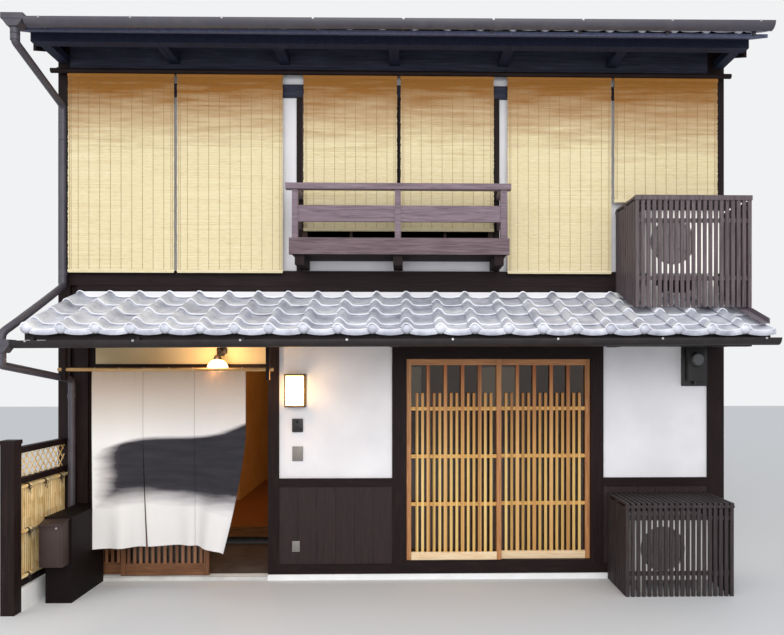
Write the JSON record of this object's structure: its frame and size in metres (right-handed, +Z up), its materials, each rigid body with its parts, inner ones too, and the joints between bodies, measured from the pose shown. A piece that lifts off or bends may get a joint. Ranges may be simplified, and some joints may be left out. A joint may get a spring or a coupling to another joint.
{
  "type": "machiya townhouse",
  "caption": "Narrow two-storey timber townhouse with plaster bays, a lattice window, a tiled pent roof, reed blinds, a balcony and sliding entry doors behind a cloth curtain.",
  "frame": {"origin": "on the ground under the middle of the front wall's face", "axes": "+X to the right along the street front, +Y into the house, +Z up"},
  "size_m": [6.0942, 9.725, 6.8016],
  "materials": {
    "concrete": "cast concrete, trowelled",
    "floor_wood": "oiled floor boards",
    "lit_plaster": "sand-finish plaster",
    "plaster": "smooth white lime plaster",
    "glass": "clear float glass",
    "dark_wood": "dark stained cedar",
    "threshold_stone": "honed stone with rails",
    "door_wood": "reddish-brown stained cedar",
    "lattice_wood": "clear-oiled cypress",
    "sash_wood": "brown painted wood",
    "roof_tile": "smoked silver-grey clay",
    "gutter_metal": "brown enamel",
    "balcony_wood": "purplish-brown stain",
    "reed": "split reed, threaded",
    "cover_wood": "dark stained slats",
    "unit_paint": "ivory powder coat",
    "bamboo": "split bamboo",
    "box_metal": "dark brown enamel",
    "cloth": "woven linen",
    "lamp_metal": "aged brass and black bracket",
    "lamp_glass": "opal glass, lit",
    "fitting_plastic": "moulded casings"
  },
  "bodies": {
    "house": {"footings": "concrete", "doma_floor": "concrete", "timber_floors": "floor_wood", "inner_wall": "lit_plaster", "party_walls": "plaster", "rear_wall": "plaster", "window_glass": "glass", "front_posts": "dark_wood", "front_beams": "dark_wood", "plaster_walls": "plaster", "wainscots": "dark_wood", "entry_head": "dark_wood", "entry_threshold": "threshold_stone", "lattice_left": "lattice_wood", "lattice_right": "lattice_wood", "upper_sashes": "sash_wood", "eave_frames": "dark_wood", "pent_roof_deck": "dark_wood", "pent_roof_tiles": "roof_tile", "roof_deck": "dark_wood", "roof_tiles": "roof_tile", "ridge_tiles": "roof_tile", "barge_boards": "dark_wood", "gutters": "gutter_metal", "rain_hoppers": "gutter_metal", "downpipes": "gutter_metal", "balcony_floor": "balcony_wood", "balcony_railing": "balcony_wood", "blind_pole": "dark_wood", "reed_blinds": "reed", "cover_fronts": "cover_wood", "cover_sides": "cover_wood", "cover_tops": "cover_wood", "ac_units": "unit_paint", "fence_frame": "dark_wood", "fence_panels": "bamboo", "letterbox": "box_metal", "side_cabinet": "box_metal", "curtain_rail": "dark_wood", "curtain": "cloth", "lamp_metalwork": "lamp_metal", "lamp_glasses": "lamp_glass", "wall_fittings": "fitting_plastic"},
    "left_door": {"entry_door_left": "door_wood", "door_pane_left": "glass"},
    "right_door": {"entry_door_right": "door_wood", "door_pane_right": "glass"}
  },
  "joints": [
    {"name": "left_door_slide", "type": "slide", "parent": "house", "child": "left_door", "axis": [1, 0, 0], "range_m": [0, 0.745]},
    {"name": "right_door_slide", "type": "slide", "parent": "house", "child": "right_door", "axis": [1, 0, 0], "range_m": [-0.217, 0.528]}
  ]
}
